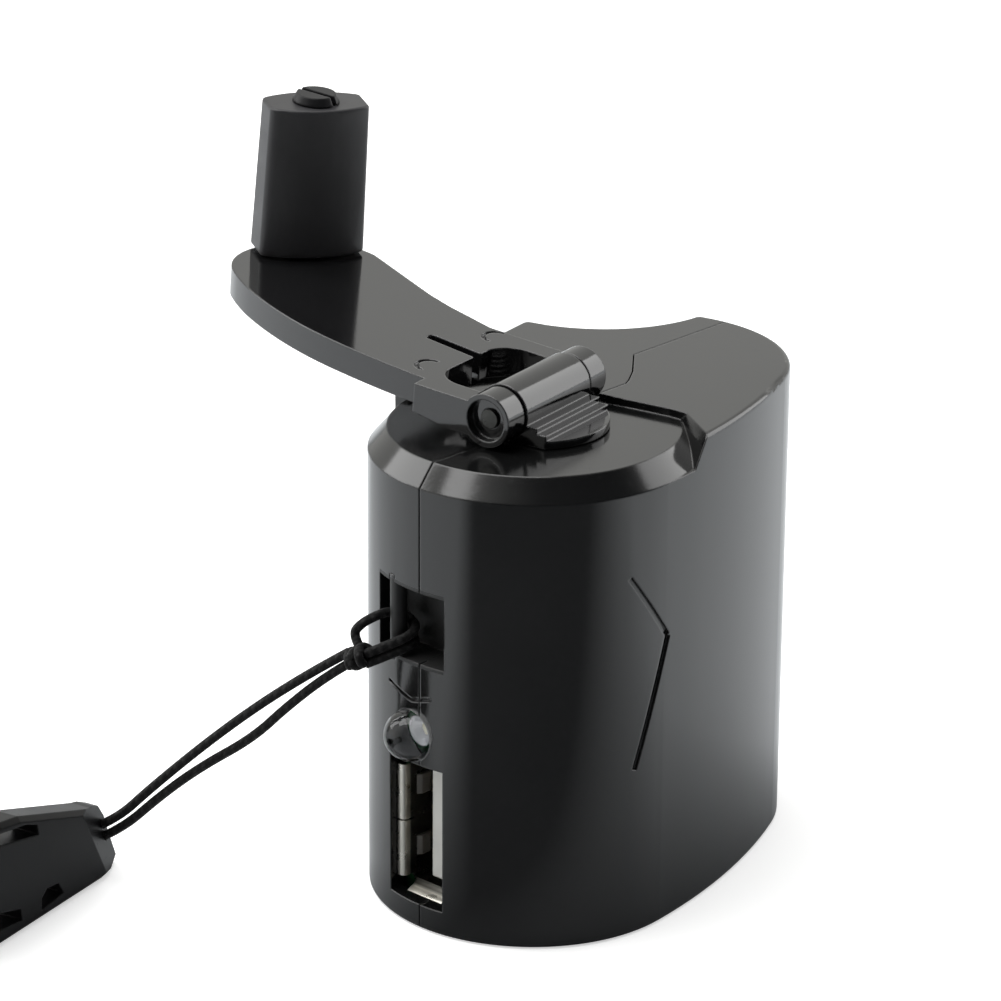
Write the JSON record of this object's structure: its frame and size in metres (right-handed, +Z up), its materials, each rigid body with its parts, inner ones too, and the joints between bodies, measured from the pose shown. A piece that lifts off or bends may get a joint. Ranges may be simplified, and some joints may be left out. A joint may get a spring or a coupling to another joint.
{
  "type": "hand crank phone charger",
  "caption": "Pocket hand crank charger with a fold-out crank arm, turning knob, gear train and motor inside, USB port, lamp and lanyard clip.",
  "frame": {"origin": "on the crank axis, at the base the charger stands on", "axes": "+Z up along the crank axis, +X along the housing from the USB port to its far end, +Y away from the front face"},
  "size_m": [0.0865, 0.0565, 0.0698],
  "materials": {
    "housing_abs": "satin black ABS",
    "crank_abs": "polished black ABS",
    "knob_abs": "satin dark grey ABS",
    "acetal": "natural acetal",
    "steel": "zinc plated",
    "black_steel": "blackened steel",
    "brass": "machined",
    "magnet": "ferrite",
    "rotor": "laminated and wound",
    "nylon": "moulded nylon",
    "nickel": "nickel plated",
    "white_pbt": "white moulding",
    "led_epoxy": "clear lens",
    "fr4": "solder mask",
    "chip_epoxy": "moulded",
    "can_aluminium": "bare",
    "wire_pvc": "insulated",
    "cord_nylon": "braided",
    "clip_abs": "satin black"
  },
  "bodies": {
    "housing": {"front_shell": "housing_abs", "rear_shell": "housing_abs", "housing_screws": "steel", "shaft_bush": "brass", "gear_axles": "steel", "gear_plate": "steel", "motor_can": "steel", "motor_screws": "steel", "motor_end_cap": "nylon", "motor_terminals": "brass", "motor_magnets": "magnet", "usb_shell": "nickel", "usb_tongue": "white_pbt", "usb_contacts": "brass", "led_lens": "led_epoxy", "led_leads": "steel", "circuit_board": "fr4", "capacitor": "can_aluminium", "regulator_chip": "chip_epoxy", "diodes": "chip_epoxy", "motor_wires": "wire_pvc", "lanyard_bar": "housing_abs", "cord_strand_a": "cord_nylon", "cord_strand_b": "cord_nylon", "cord_hitch_a": "cord_nylon", "cord_hitch_b": "cord_nylon", "cord_knot": "cord_nylon", "clip_body": "clip_abs", "clip_insert": "clip_abs"},
    "crank": {"crank_hub": "crank_abs", "drive_gear": "acetal", "shaft_clip": "steel"},
    "arm": {"crank_arm": "crank_abs", "hinge_pin": "black_steel", "knob_stud": "knob_abs"},
    "knob": {"knob": "knob_abs"},
    "gear_1": {"compound_gear_1": "acetal"},
    "gear_2": {"compound_gear_2": "acetal"},
    "rotor": {"rotor_shaft": "steel", "rotor_core": "rotor", "commutator": "brass", "motor_pinion": "brass"}
  },
  "joints": [
    {"name": "crank_spin", "type": "hinge", "parent": "housing", "child": "crank", "pos_m": [0, 0, 0.0471], "axis": [0, 0, 1], "continuous": true},
    {"name": "arm_fold", "type": "hinge", "parent": "crank", "child": "arm", "pos_m": [0, 0, 0.0491], "axis": [0.9877, 0.1564, 0], "range_deg": [0, 174]},
    {"name": "knob_spin", "type": "hinge", "parent": "arm", "child": "knob", "pos_m": [0.00701, 0.03693, 0.05207], "axis": [0.0131, -0.0826, 0.9965], "continuous": true},
    {"name": "gear_1_spin", "type": "hinge", "parent": "housing", "child": "gear_1", "pos_m": [0.01316, 0.00479, 0.036], "axis": [0, 0, 1], "continuous": true},
    {"name": "gear_2_spin", "type": "hinge", "parent": "housing", "child": "gear_2", "pos_m": [0.00333, -0.0021, 0.033], "axis": [0, 0, 1], "continuous": true},
    {"name": "rotor_spin", "type": "hinge", "parent": "housing", "child": "rotor", "pos_m": [0.01457, 0.0003, 0.02], "axis": [0, 0, 1], "continuous": true}
  ],
  "couplings": [
    {"joint": "gear_1_spin", "follows": "crank_spin", "ratio": -3.6667},
    {"joint": "gear_2_spin", "follows": "crank_spin", "ratio": 11},
    {"joint": "rotor_spin", "follows": "crank_spin", "ratio": -39.6}
  ]
}
